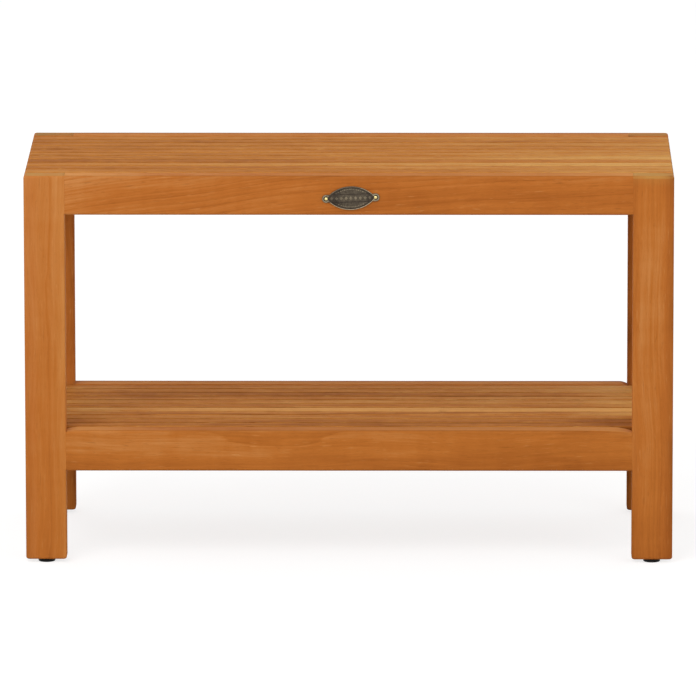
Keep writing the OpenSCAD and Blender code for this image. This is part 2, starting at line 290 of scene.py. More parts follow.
def edgeShares(t, length, edges, reach):
    # The pale (above 0, painted highlight) or dark (below 0, painted shade) amount of each point: its corner's amount
    # on the arc, which runs through values along the board, and times (1 - share / reach)^2 on the flats beside it.
    amounts = np.stack([alongBoard(t / length, values) for values in edges], -1)[..., None]
    fade = np.clip(1 - boardLook["sideShares"] / reach, 0, 1) ** 2
    arc = np.repeat(amounts, boardLook["cornerPoints"], 2)
    flat = amounts * fade + np.roll(amounts, -1, 1) * fade[::-1]
    return np.concatenate([arc, flat], 2).reshape(len(t), -1)


def lyingRings(x, outline):
    # The outlines of a board that lies along X, each at its x, with two smaller ones inside either end
    rings = np.concatenate([np.broadcast_to(x[:, None, None], (*outline.shape[:2], 1)), outline], -1)
    return np.concatenate([drawnIn(rings[0], (0.35, 0.75)), rings, drawnIn(rings[-1], (0.75, 0.35))])


def makeSlat(deck, number, material, grain):
    # A rectangle with quarter circles as corners, carried along the slat and drawn in round both of its ends.
    node = f"{deck}_slat_{number}"
    low, high = boxOf(node)
    seed, length, end = grain["seed"], high[0] - low[0], boardLook["slatEnd"]
    t = stations(length, end)
    inset = roundIn(t, end) + roundIn(length - t, end)
    arris = sanded(boardLook["slatArris"], t, seed + 7, (0.31, 0.17, 0.09))
    drop = boardLook["slatStep"] * np.random.default_rng(seed + 3).uniform(0, 1)
    sunk = inset[:, None]
    outline = outlineRings(low[1:] + sunk, high[1:] - sunk - (0, drop), np.tile(arris[:, None], 4))
    arrisShare, sideways = outlineShares()
    along, inset = np.pad(t, 2, mode="edge"), np.pad(inset, 2, mode="edge")
    capped = smoothStep(inset, 0.1 * end, 0.6 * end)[:, None]
    # painted shade: the slats' sides in the gaps are painted dark, more so beside the legs
    dust = alongBoard(along / length, grain["gap"]) * (1 + 0.6 * wander(along, seed + 5, (0.43, 0.19, 0.11)))
    dust = dust + grain["legDust"] * (1 - smoothStep(np.minimum(along, length - along), *boardLook["besideLeg"]))
    # painted highlight along the slat, on faces that do not face sideways
    pale = alongBoard(along / length, grain["pale"])[:, None]
    finishBoard(f"{deck}Slat{number:02d}", lyingRings(low[0] + t, outline), 0, grain, "teak_slats", material, node, {
        "endGrain": capped,
        "gap": smoothStep(sideways, *boardLook["sideFacing"]) * dust[:, None] * (1 - capped),
        "worn": (boardLook["arrisWear"] * arrisShare + pale * (1 - sideways)) * (1 - capped),
    })


def makeLongRail(deck, face, material, grain):
    # As a slat, with square ends. Its two top edges sink by their own dip * s^2 near each leg, where s runs from
    # 0 to 1 over that dip's length, and the top between them sinks in proportion.
    node, look, isFront = f"{deck}_{face}_rail", railLook, face == "front"
    low, high = boxOf(node)
    length, seed = high[0] - low[0], grain["seed"]
    t = stations(length, 0, square=True)
    near = np.concatenate([np.linspace(1.5 * mm, 31.5 * mm, 21), np.linspace(35 * mm, 59 * mm, 7)])
    t = np.unique(np.concatenate([t, near, length - near]))
    inset = np.where((t < 0.05 * mm) | (t > length - 0.05 * mm), 0.12 * mm, 0)[:, None]
    outerSink, innerSink = (
        sum(dip * np.clip(1 - distance / reach, 0, 1) ** 2 for (dip, reach), distance in zip(dips, (t, length - t)))
        for dips in look["dips"].get(node, look["noDips"])
    )
    frontLow, rearLow = (sanded(boardLook["arris"], t, seed + k, (0.27, 0.15, 0.08)) for k in (11, 12))
    topOuter = sanded(look["topRadius"].get(node, boardLook["arris"]), t, seed + 13, (0.3, 0.11))
    topEdges = [np.full_like(t, boardLook["arris"]), topOuter][::1 if isFront else -1]
    outline = outlineRings(low[1:] + inset, high[1:] - inset, np.stack([*topEdges, frontLow, rearLow], -1))
    across = (outline[..., 0] - low[1]) / (high[1] - low[1])
    across = across if isFront else 1 - across
    sink = outerSink[:, None] * (1 - across) + innerSink[:, None] * across
    outline[..., 1] -= sink * np.clip((outline[..., 1] - high[2]) / look["sinkDepth"] + 1, 0, 1)
    rings = lyingRings(low[0] + t, outline)
    arrisShare, sideways = outlineShares()
    besideSlats = smoothStep(rings[..., 2], high[2] - 20 * mm, high[2] - 14 * mm)
    besideSlats = besideSlats * (rings[..., 1] > (low[1] + high[1]) / 2) * isFront
    along = np.pad(t, 2, mode="edge")
    # painted light: the rail's top is painted paler
    paintedTopLight = alongBoard(along / length, look["paintedTopLight"][node])[:, None] * (rings[..., 2] > high[2] - 8 * mm)
    edges = edgeShares(along, length, look["edges"].get(node, look["plainEdges"]), look["edgeReach"][face])
    worn = boardLook["arrisWear"] * arrisShare + paintedTopLight * smoothStep(1 - sideways, 0.5, 1)
    # painted shade on a front rail's side towards the slats
    railGapShade = look["dust"] * smoothStep(sideways, *boardLook["sideFacing"]) * besideSlats
    # the dark long edges are painted shade and the pale ones painted highlight
    edgeShade = np.maximum(-edges, 0) * (1 - 0.7 * sideways * isFront)
    finishBoard(camelName(f"{deck}_{face}", "Rail"), rings, 0, grain, "teak_frame", material, node,
                {"endGrain": 0.0, "worn": worn + np.maximum(edges, 0), "gap": railGapShade + edgeShade})


# The bore under a leg, as in the solids: (radius, depth) of each step, from the leg's end inwards.
boreLook = {"flange": (8.6 * mm, 1.6 * mm), "insert": (6.1 * mm, 20.1 * mm), "stud": (4.0 * mm, 29 * mm)}


def makeLeg(corner, material, grain):
    # A leg's vertical arrises shrink to almost nothing where a rail meets it, so the faces run on flush.
    face, end = corner.split("_")
    low, high = boxOf(corner + "_leg")
    length, seed, rounding = high[2] - low[2], grain["seed"], boardLook["legEnd"]
    meets = [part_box(f"{deck}_{face}_rail") for deck in decks]
    sides = [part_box(f"{deck}_{end}_rail") for deck in decks]
    # rings close together round the rails' edges, where the arrises change
    edges = np.array([v[2] for box in meets + sides for v in box]) - low[2]
    near = (edges[:, None] + np.array([-1.2, -0.4, 0.4, 1.2, 2.0, 2.8]) * mm).ravel()
    near = near[(near > 4 * mm) & (near < length - 4 * mm)]
    t = np.unique(np.concatenate([stations(length, rounding), near]))
    z = low[2] + t

    def flush(boxes):
        # 1 between a rail's lower and upper edges, 0 elsewhere, with short smooth changes
        return sum(
            smoothStep(z, b[0][2] - 0.2 * mm, b[0][2] + 2.2 * mm)
            * (1 - smoothStep(z, b[1][2] - 2.2 * mm, b[1][2] + 0.2 * mm) * (b[1][2] < high[2] - mm))
            for b in boxes
        )

    atRail, atSide = flush(meets), flush(sides)
    radii = np.stack([sanded(boardLook["arris"], t, seed + k, (0.23, 0.13, 0.07)) for k in range(4)], -1)
    xIn, yIn = 1 if end == "left" else -1, 1 if face == "front" else -1      # towards the bench's middle
    for k, (sx, sy) in enumerate(cornerSigns):
        share = atRail if sx == xIn else atSide * (sy == yIn)
        radii[:, k] = radii[:, k] * (1 - share) + boardLook["jointArris"] * share
    foot, top = roundIn(t, rounding), roundIn(length - t, rounding)
    insetX = [foot + top, foot][::xIn]
    insetY = roundIn(t, boardLook["arris"]) + roundIn(length - t, boardLook["arris"])
    outline = outlineRings(low[:2] + np.stack([insetX[0], insetY], -1), high[:2] - np.stack([insetX[1], insetY], -1),
                           radii)
    rings = np.concatenate([outline, np.broadcast_to(z[:, None, None], (*outline.shape[:2], 1))], -1)

    # The bore: circles of evenly spaced points that start at the angle of the lowest ring's first point, from the
    # deepest one down to the leg's end.
    centre = (low + high) / 2
    offset = rings[0, 0, :2] - centre[:2]
    soft = 0.1 * mm
    radiusNow, depth = boreLook["stud"]
    steps = [(0.5 * mm, depth), (radiusNow - soft, depth), (radiusNow, depth - soft)]
    for key in ("insert", "flange"):
        radius, shoulder = boreLook[key]
        steps += [(radiusNow, shoulder + soft), (radiusNow + soft, shoulder), (radius - soft, shoulder),
                  (radius, shoulder - soft)]
        radiusNow = radius
    steps += [(radiusNow, 3 * soft), (radiusNow + soft, 0.8 * soft), (radiusNow + 3 * soft, 0)]
    bore = turnedRings((*centre[:2], low[2]), fullTurn(rings.shape[1], math.atan2(offset[1], offset[0])), steps)
    between = bore[-1] * 0.4 + rings[0] * 0.6
    allRings = np.concatenate([bore, between[None], rings, drawnIn(rings[-1], (0.75, 0.35))])
    atEnd = smoothStep(foot + top, 0.45 * rounding, rounding)
    atEnd = np.maximum(atEnd, 0.75 * smoothStep(t - length, -grain["endReach"], -0.5 * grain["endReach"]))
    # the leg's pale long edges are painted highlight and its dark ones painted shade
    edges = edgeShares(t, length, grain["edges"], 0.25) * (1 + 0.5 * wander(t, seed + 31, (0.19, 0.08)))[:, None]
    worn = (boardLook["arrisWear"] * outlineShares()[0] + np.maximum(edges, 0)) * (1 - atEnd)[:, None]
    added = (len(steps) + 1, 2)      # the rings before and after the leg's own
    finishBoard(camelName(corner, "Leg"), allRings, 2, grain, "teak_frame", material, corner + "_leg", {
        "endGrain": np.pad(atEnd, added, constant_values=1)[:, None],
        "worn": np.pad(worn, (added, (0, 0))),
        "gap": np.pad(np.maximum(-edges, 0), (added, (0, 0))),
    })


# Oiled teak, sawn, planed and sanded: growth rings 2 to 5 mm apart with darker late wood, fibres under 1 mm
# wide, open pores drawn 0.5 mm wide so that they show, and a soft satin sheen.
teakLook = {
    "light": "#D89A5C", "middle": "#BC6F2E", "deep": "#8C4817", "pore": "#5A2E12", "endGrain": "#BE8C49",
    # the worn colour serves both wear and painted highlights, and the gap colour is painted shade
    "worn": "#EFAE62", "red": "#B4562A", "gap": "#4A2409",
    "ringSpacing": 3.8, "bandAmount": 0.26, "evenTone": 0.94, "roughness": 0.66, "specular": 0.03,
    "bends": (((260, 46, 46), 9.0), ((46, 8, 8), 1.7)),      # slow and quick: lengths and sway in mm
    # Each pattern's lengths in mm along, across and through the board, its detail, roughness and how much it darkens
    "patterns": {
        "fibre": ((52, 1.3, 1.3), 4, 0.62, 0.42), "streak": ((78, 3.8, 3.8), 2, 0.55, 0.5),
        "broad": ((300, 11, 11), 1, 0.5, 0.3), "cloud": ((120, 34, 34), 2, 0.5, 0.36),
        "ripple": ((17, 60, 60), 2, 0.5, 0.22), "pores": ((7, 0.55, 0.55), 1, 0.5, 0.0),
        "flecks": ((24, 1.7, 1.7), 2, 0.5, 0.0), "paleFlecks": ((19, 1.8, 1.9), 2, 0.5, 0.0),
        "endDots": ((60, 0.8, 0.8), 3, 0.5, 0.0),
    },
    # Where marks start and end in their pattern, and how strong they are
    "marks": {"pores": (0.60, 0.72, 0.3), "flecks": (0.64, 0.76, 0.4), "paleFlecks": (0.62, 0.78, 0.5)},
}


def teakMaterial(name, look, coordinates=None):
    # How dark the wood is: 0.5 + tone + figure * (ring + patterns - evenTone), tone and figure being the board's own.
    # The colour goes from light over middle to deep with it, and redness, pores, flecks, end grain, wear with painted
    # highlights on edges and tops, and painted shade on the sides of the gaps and on shaded edges are mixed in one
    # after the other.
    material = bpy.data.materials.new(name)
    add = nodeAdder(material)
    if coordinates is None:
        place, board = (add("Attribute", attribute_name=key)["Vector"] for key in ("grain", "board"))
        tone, red, endTone = add("SeparateXYZ", (board,))
        endness, worn, gap, figure = (
            add("Attribute", attribute_name=key)["Fac"] for key in ("endGrain", "worn", "gap", "figure"))
    else:
        place, tone, red, endTone, endness, worn, gap, figure = coordinates(add)
    place = add("VectorMath SCALE", {0: place, "Scale": 1000.0})[0]      # to mm
    bent = place
    for lengths, sway in look["bends"]:
        scaled = add("VectorMath DIVIDE", (place, lengths))[0]
        drift = add("TexNoise", {"Vector": scaled, "Scale": 1.0, "Detail": 2.0})["Color"]
        drift = add("VectorMath SUBTRACT", (drift, (0.5, 0.5, 0.5)))[0]
        bent = add("VectorMath MULTIPLY_ADD", (drift, (0, sway, sway), bent))[0]

    # Growth rings round the pith: ring number = distance / spacing + a slow wave, late wood at each ring's end
    flat = add("VectorMath MULTIPLY", (bent, (0, 1, 1)))[0]
    distance = add("VectorMath LENGTH", (flat,))["Value"]
    turns = add("Math DIVIDE", (distance, look["ringSpacing"]))[0]
    wave = add("Math MULTIPLY", (turns, 0.31))[0]
    wave = add("TexNoise", {"W": wave, "Scale": 1.0, "Detail": 1.0}, noise_dimensions="1D")["Fac"]
    turns = add("Math MULTIPLY_ADD", (wave, 2.6, turns))[0]
    whole, part = (add(kind, (turns,))[0] for kind in ("Math FLOOR", "Math FRACT"))
    strength = add("TexWhiteNoise", {"W": whole}, noise_dimensions="1D")["Value"]
    strength = add("Math POWER", (strength, 1.6))[0]
    rise = add("MapRange", (part, 0.25, 0.92, 0.0, strength), interpolation_type="SMOOTHSTEP")[0]
    late = add("MapRange", (part, 0.93, 1.0, rise, 0.0), interpolation_type="SMOOTHSTEP")[0]

    dark = add("Math MULTIPLY_ADD", (late, look["bandAmount"], -look["evenTone"]))[0]
    values = {}
    for key, (lengths, detail, roughness, amount) in look["patterns"].items():
        source = place if key in ("cloud", "ripple", "endDots") else bent
        scaled = add("VectorMath DIVIDE", (source, lengths))[0]
        noise = {"Vector": scaled, "Scale": 1.0, "Detail": detail, "Roughness": roughness}
        values[key] = add("TexNoise", noise)["Fac"]
        dark = add("Math MULTIPLY_ADD", (values[key], amount, dark))[0]
    dark = add("Math MULTIPLY_ADD", (dark, figure, tone))[0]
    dark = add("Math ADD", (dark, 0.5))[0]
    shares = {}
    for key, (start, end, amount) in look["marks"].items():
        strength = add("Math MULTIPLY", (figure, amount))[0]
        shares[key] = add("MapRange", (values[key], start, end, 0.0, strength), interpolation_type="SMOOTHSTEP")[0]
    sunk = add("Math MAXIMUM", (shares["pores"], shares["flecks"]))[0]
    patches = add("MapRange", (values["cloud"], 0.4, 0.6, 0.6, 1.0))[0]
    endness = add("Math MULTIPLY", (endness, patches))[0]
    endDark = add("Math MULTIPLY_ADD", (values["endDots"], 0.5, endTone))[0]
    endDark = add("MapRange", (endDark, 0.15, 1.15))[0]
    endColour = add("Mix", {0: endDark, 6: look["endGrain"], 7: look["pore"]}, data_type="RGBA")[2]
    colour = look["light"]
    for share, key in [
        (add("MapRange", (dark, 0.0, 0.5))[0], "middle"), (add("MapRange", (dark, 0.5, 1.0))[0], "deep"),
        (red, "red"), (sunk, "pore"), (shares["paleFlecks"], "light"), (endness, "endGrain"), (worn, "worn"),
        (gap, "gap"),
    ]:
        following = endColour if key == "endGrain" else look[key]
        colour = add("Mix", {0: share, 6: colour, 7: following}, data_type="RGBA")[2]

    # Fibres are a little duller than what lies between them, and pores duller still and sunk
    dull = add("Math MULTIPLY_ADD", (values["fibre"], 0.16, look["roughness"] - 0.08))[0]
    dull = add("Math MULTIPLY_ADD", (sunk, 0.2, dull))[0]
    height = add("Math MULTIPLY", (values["fibre"], 0.5))[0]
    height = add("Math SUBTRACT", (height, sunk))[0]
    bump = add("Bump", {"Height": height, "Strength": 0.5, "Distance": 0.12 * mm})[0]
    finishMaterial(add, {"Base Color": colour, "Roughness": dull, "Normal": bump,
                          "Specular IOR Level": look["specular"]})
    return material


def supportCoordinates(add):
    # The boards under the slats keep their CAD meshes, so their grain, along Y, comes from Object coordinates.
    x, y, z = add("SeparateXYZ", (add("TexCoord")["Object"],))
    turned = add("CombineXYZ", (y, z, x))[0]
    moved = add("VectorMath ADD", (turned, (3.0, 0.13, 0.06)))[0]
    zero = add("Value")[0]
    full = add("Math ADD", (zero, 1.0))[0]
    return (moved, *[zero] * 6, full)


# The slats are paler and yellower than the frame
slatColours = {"light": "#DAA45C", "middle": "#C17B36", "deep": "#8E4F1D", "endGrain": "#B8803F",
               "ringSpacing": 3.2, "bandAmount": 0.3}
frameTeak = teakMaterial("oiledTeakFrame", teakLook)
slatTeak = teakMaterial("oiledTeakSlats", {**teakLook, **slatColours})
supportTeak = teakMaterial("oiledTeakSupports", {**teakLook, "light": "#C08A50"}, supportCoordinates)
print("teak mixed")

# Each leg's and rail's board: the pith's offset, the drift of the grain, tones from start to end (lower is lighter),
# redness, the end grain's tone, how strong the pattern is, sides that differ (darker, redder, side, edge), and how
# pale (painted highlight) or dark (painted shade) each long edge of a leg is, in its outline's order. The rest is as
# in anyBoard.
anyBoard = {"bend": 0.0, "wave": 0.004, "red": 0.0, "endTone": 0.2, "endReach": 0.1 * mm}
frameBoards = {
    "front_left_leg": {
        "pith": (0.070, 0.110), "slope": 0.006, "tone": (0.05, -0.02, -0.09), "red": 0.04, "endTone": -0.15,
        "figure": 0.4, "sides": ((-0.05, 0.12, -1, -0.010), (-0.06, -0.04, 1, 0.010)),
        "edges": ((0.0,), (-0.1,), (-0.16, -0.06, 0.0, 0.0), (0.08, 0.06, 0.1, 0.14, 0.0))},
    "front_right_leg": {
        "pith": (-0.085, 0.060), "slope": -0.010, "tone": (0.14, -0.01, -0.09, -0.08, 0.03), "red": 0.04,
        "endTone": -0.15, "figure": 0.55, "endReach": 4.5 * mm,
        "sides": ((0.12, 0.08, 1, 0.010), (0.07, 0.06, -1, -0.014)),
        "edges": ((-0.1,), (0.0,), (-0.16, 0.04, 0.1, -0.03, -0.05, -0.05), (-0.22,))},
    "rear_left_leg": {
        "pith": (0.050, -0.09), "slope": 0.008, "tone": (0.03,), "red": 0.02, "endTone": 0.25, "figure": 0.6,
        "edges": ((0.0,), (-0.1,), (0.0,), (-0.1,))},
    "rear_right_leg": {
        "pith": (-0.060, -0.12), "slope": 0.0, "tone": (0.1,), "red": 0.08, "endTone": 0.08, "figure": 0.6,
        "edges": ((-0.1,), (0.0,), (-0.4,), (0.0,))},
    "seat_front_rail": {
        "pith": (0.075, -0.020), "slope": 0.085, "bend": -0.10, "wave": 0.003, "red": 0.09,
        "tone": (-0.08, 0.04, 0.13, 0.12, 0.12), "turned": True, "figure": 0.7, "sides": ((-0.1, 0.0, 1, 0.008),)},
    "seat_rear_rail": {
        "pith": (0.060, 0.030), "slope": 0.012, "tone": (-0.02,), "figure": 0.9, "sides": ((0.3, 0.0, 1, 0.008),)},
    "shelf_front_rail": {
        "pith": (0.020, 0.060), "slope": 0.010, "bend": 0.02, "wave": 0.005, "turned": True,
        "tone": (-0.04, -0.02, 0.06, 0.09), "figure": 0.65, "sides": ((0.14, 0.02, -1, -0.006),)},
    "shelf_rear_rail": {
        "pith": (0.060, -0.040), "slope": -0.012, "tone": (0.02, -0.04), "figure": 1.0,
        "sides": ((0.4, 0.0, 1, 0.008),)},
}
# Each long rail: how far its outer and inner top edges are sanded down beside the left and the right leg, and over
# what length, the radius of its outer top edge, how pale its top is painted from left to right as painted light, and
# how pale (painted highlight) or dark each long edge is. The dark is painted shade under the rails and along the rear
# rails' rear top edge, and on the front rails' front top edge partly the wood's own darker streak and partly painted
# shade.
# The dark on a front rail's side towards the slats is painted shade.
noDip = (0, 10 * mm)
railLook = {
    "noDips": ((noDip, noDip), (noDip, noDip)),
    "dips": {"shelf_front_rail": (((1.6 * mm, 20 * mm), (2.3 * mm, 58 * mm)),
                                  ((2.1 * mm, 18 * mm), (4.4 * mm, 22 * mm))),
             "shelf_rear_rail": ((noDip, (2.6 * mm, 9 * mm)), (noDip, (2.6 * mm, 9 * mm)))},
    "sinkDepth": 14 * mm,      # how far below the top the sides still sink
    "topRadius": {"seat_front_rail": 3.2 * mm, "shelf_front_rail": 3.0 * mm},
    "paintedTopLight": {"seat_front_rail": (0.38, 0.06, 0.06, 0.14, 0.18, 0.18, 0.36), "seat_rear_rail": (0.12,),
                "shelf_front_rail": (0.55, 0.0, 0.04, 0.2, 0.28, 0.28, 0.45), "shelf_rear_rail": (0.26,)},
    "plainEdges": ((-0.75,), (0.0,), (-0.1,), (-0.1,)),
    "edges": {"seat_front_rail": ((0.0,), (-0.14, -0.24, -0.36, -0.32, -0.26, -0.14), (-0.06,), (-0.1,)),
              "shelf_front_rail": ((0.0,), (0.0, -0.08, -0.28, -0.24, -0.2, -0.2, -0.2, 0.12), (-0.06,), (-0.1,))},
    "edgeReach": {"front": 0.1, "rear": 0.4}, "dust": 0.3,
}

boards = {node: {**anyBoard, "seed": 20 + k, **board} for k, (node, board) in enumerate(frameBoards.items())}
for corner in corners:
    makeLeg(corner, frameTeak, boards[corner + "_leg"])
for deck in decks:
    for face in faces:
        makeLongRail(deck, face, frameTeak, boards[f"{deck}_{face}_rail"])
print("legs and rails made")

# Each slat's tone is drawn by chance and is painted lighter to the right, as painted light from that side. Those
# that stand out are given one by one, from left to right. Slat 1 is the front one.
slatLook = {
    # fade is how much painted light lightens each slat towards its right end
    "toneSpread": 0.12, "redSpread": 0.05, "slope": 0.01, "wave": 0.002, "fade": 0.06, "pith": (0.02, 0.12),
    # the gap amounts are painted shade on the slats' sides in the gaps
    "figure": {"seat": 1.0, "shelf": 1.15}, "gap": (0.08, 0.4), "endTone": (0.5, 0.75),
    # painted shade (above 0) and painted light (below 0) beside the left and the right legs, over the slats from
    # front to rear
    "byLeg": {"seat": ((0.0,), (0.0,)),
              "shelf": ((0.02, 0.05, -0.08, -0.22, -0.36, -0.02, -0.1, -0.08, 0.0, -0.1, -0.14),
                        (0.28, 0.26, 0.1, -0.22, -0.1, -0.04, -0.2, -0.18, -0.22, -0.1, -0.18))},
}
slatsByHand = {
    "tone": {
        "shelf": {
            1: (0.15, 0.14, 0.18), 2: (0.1, 0.08, 0.08, 0.02), 3: (0.06, 0.02, 0.0, -0.12),
            4: (0.1, 0.06, 0.0, -0.1), 5: (0.26, -0.3, -0.46, -0.36, -0.42), 6: (0.15, 0.08, -0.02, -0.12),
            7: (-0.06, -0.04, -0.14), 8: (0.1, -0.1), 9: (0.22, 0.24, 0.08), 11: (0.06, 0.0, -0.08, -0.14)},
        "seat": {
            1: (-0.06, 0.08, 0.08, 0.03, -0.2), 2: (0.14, 0.03, -0.04, -0.1, -0.33), 3: (0.05, -0.04, -0.26, -0.42),
            4: (0.32, 0.24, 0.02, -0.12), 5: (0.06, 0.0, -0.06, -0.44), 6: (0.1, 0.12, 0.0, -0.08, -0.24),
            7: (0.06, 0.08, 0.02, -0.14), 8: (0.16, 0.07, 0.02, 0.04), 9: (0.19, 0.08, 0.02, -0.06, -0.19)},
    },
    # how much painted shade darkens each slat's sides in the gaps, from its start to its end
    "gap": {
        "shelf": {
            1: (0.0,), 2: (0.4,), 3: (0.3,), 4: (0.0,), 5: (0.05,), 6: (0.15, 0.4, 0.3, 0.3),
            7: (0.1, 0.4, 0.25, 0.1), 8: (0.35, 0.5, 0.35, 0.1), 9: (0.25, 0.35, 0.5, 0.3),
            10: (0.4, 0.5, 0.35, 0.1), 11: (0.35, 0.3, 0.1)},
        "seat": {1: (0.0,), 2: (0.25, 0.3, 0.1), 5: (0.25, 0.25, 0.0), 7: (0.15,), 8: (0.08,)},
    },
    # a painted highlight along shelf slat 5, and painted shade on the gap sides of shelf slats 2 and 3 beside the
    # legs
    "red": {"shelf": {5: 0.06}}, "pale": {"shelf": {5: (0.0, 0.14, 0.32, 0.2, 0.5)}},
    "legDust": {"shelf": {2: 0.25, 3: 0.2}},
}

chance = np.random.default_rng(5)
for deck in decks:
    for number in slatNumbers:
        offset = chance.uniform(*slatLook["pith"], 2) * chance.choice([-1, 1], 2)
        tone = chance.uniform(-1, 1) * slatLook["toneSpread"]
        tones = tuple(tone + slatLook["fade"] * k for k in (1, 0.3, -0.6, -2.6))
        slope = chance.uniform(-1, 1) * slatLook["slope"]
        red = abs(chance.uniform(-1, 1)) * slatLook["redSpread"]
        endTone, gap = chance.uniform(*slatLook["endTone"]), chance.uniform(*slatLook["gap"])
        slat = {
            "pith": offset, "slope": slope, "bend": 0.0, "wave": slatLook["wave"], "endTone": endTone, "tone": tones,
            "figure": slatLook["figure"][deck], "red": red, "pale": (0.0,), "gap": (gap,), "legDust": 0.0,
            "byLeg": [alongBoard((number - 1) / 10, values) for values in slatLook["byLeg"][deck]],
            "seed": 100 + number + 20 * decks.index(deck),
        }
        for key, byHand in slatsByHand.items():
            slat[key] = byHand.get(deck, {}).get(number, slat[key])
        makeSlat(deck, number, slatTeak, slat)
print("slats made")


def metalMaterial(name, colour, dull, roughness, spread, grainMm, dent, rubbingAndShade=None):
    # A metal whose colour and roughness vary with noise of a given grain in mm, and a fine bump of depth dent.
    material, add, place = newMaterial(name)
    fine = add("TexNoise", {"Vector": place, "Scale": 1 / (grainMm * mm), "Detail": 3.0})["Fac"]
    broad = add("TexNoise", {"Vector": place, "Scale": 0.12 / (grainMm * mm), "Detail": 2.0})["Fac"]
    share = add("Math MULTIPLY", (fine, broad))[0]
    share = add("MapRange", (share, 0.1, 0.4))[0]
    colour = add("Mix", {0: share, 6: colour, 7: dull}, data_type="RGBA")[2]
    rough = add("Math MULTIPLY_ADD", (fine, spread, roughness))[0]
    bump = add("Bump", {"Height": fine, "Strength": 0.6, "Distance": dent * mm})[0]
    finishMaterial(add, {"Base Color": rubbingAndShade(add, colour) if rubbingAndShade else colour, "Roughness": rough, "Normal": bump,
                          "Metallic": 1.0})
    return material


def raisedMetal(add, colour):
    # On the plaque the raised parts are rubbed bright and the ground has kept its dark patina.
    # The raised attribute is lowered on the rim's upper left as painted shade, and towards both ends of the field.
    height = add("Attribute", attribute_name="raised")["Fac"]
    place = add("TexCoord")["Object"]
    specks = add("TexNoise", {"Vector": place, "Scale": 900.0, "Detail": 2.0})["Fac"]
    specks = add("Math MULTIPLY_ADD", (specks, 0.5, 0.25))[0]
    rubbedAndShaded = add("Math MULTIPLY", (height, specks))[0]
    rubbedAndShaded = add("MapRange", (rubbedAndShaded, 0.1, 0.55))[0]
    return add("Mix", {0: rubbedAndShaded, 6: colour, 7: "#BFAF90"}, data_type="RGBA")[2]


def speckledMaterial(name, fixed, scale, detail, colours, rough, peel=None):
    # Noise mixes the two colours and moves the roughness between two values. Peel is the scale of a finer bump.
    material, add, place = newMaterial(name)
    speck = add("TexNoise", {"Vector": place, "Scale": scale, "Detail": detail})["Fac"]
    colour = add("Mix", {0: speck, 6: colours[0], 7: colours[1]}, data_type="RGBA")[2]
    inputs = {"Base Color": colour, "Roughness": add("MapRange", (speck, 0.0, 1.0, *rough))[0], **fixed}
    if peel:
        fine = add("TexNoise", {"Vector": place, "Scale": peel, "Detail": 2.0})["Fac"]
        inputs["Normal"] = add("Bump", {"Height": fine, "Strength": 0.35, "Distance": 0.03 * mm})[0]
    finishMaterial(add, inputs)
    return material


# Cast brass darkened by a patina: dull brown ground, brighter rubbed relief
plaqueBronze = metalMaterial("darkenedBronze", "#4F463D", "#302A26", 0.42, 0.2, 0.8, 0.05, raisedMetal)
# Turned and polished brass pin heads
pinBrass = metalMaterial("polishedBrass", "#F0DFA0", "#CDB269", 0.16, 0.1, 0.5, 0.01)
# Machined brass of the threaded inserts, a little dulled
insertBrass = metalMaterial("machinedBrass", "#C9A357", "#9C7A3B", 0.3, 0.15, 0.6, 0.02)
# Cold-headed stainless steel of the screws
screwSteel = metalMaterial("stainlessSteel", "#B9B9B8", "#8F8F8E", 0.28, 0.15, 0.5, 0.02)
# Zinc plated steel of the studs: bluish, soft gloss
studSteel = metalMaterial("zincPlatedSteel", "#B4B6B8", "#8E9092", 0.3, 0.18, 0.5, 0.02)
# Injection-moulded black nylon: almost black, glossy with a faint orange peel and fine scuffs
padNylon = speckledMaterial("mouldedNylon", {"IOR": 1.53, "Specular IOR Level": 0.1}, 160.0, 3.0,
                            ("#050504", "#100F0E"), (0.16, 0.38), 700.0)
# Bare beech dowels: pale, with short fine flecks. They are hidden, and show only in a cut.
dowelBeech = speckledMaterial("bareBeech", {"Specular IOR Level": 0.3}, 650.0, 2.0,
                              ("#D9B98A", "#B98E5C"), (0.55, 0.75))

# The CAD nodes that keep their own meshes get their materials
nodeMaterials = {"leg_inserts": insertBrass, "plaque_pins": pinBrass}
for deck in decks:
    for kind, material in (("left_rail", supportTeak), ("right_rail", supportTeak), ("batten", supportTeak),
                           ("rail_dowels", dowelBeech), ("side_dowels", dowelBeech)):
        nodeMaterials[f"{deck}_{kind}"] = material
for node, material in nodeMaterials.items():
    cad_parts[node].data.materials.clear()
    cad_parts[node].data.materials.append(material)
print("metals and plastic mixed")


padLook = {
    "radius": 10 * mm, "height": 3.7 * mm, "edge": 0.8 * mm, "lip": 0.35 * mm, "keyHole": 3.0 * mm,
    "floor": 1.2 * mm, "pocket": 5.68 * mm, "pocketTop": 2.56 * mm, "bore": 3.98 * mm,
    "groove": (7.4 * mm, 0.25 * mm), "soft": 0.12 * mm, "around": 72,
}


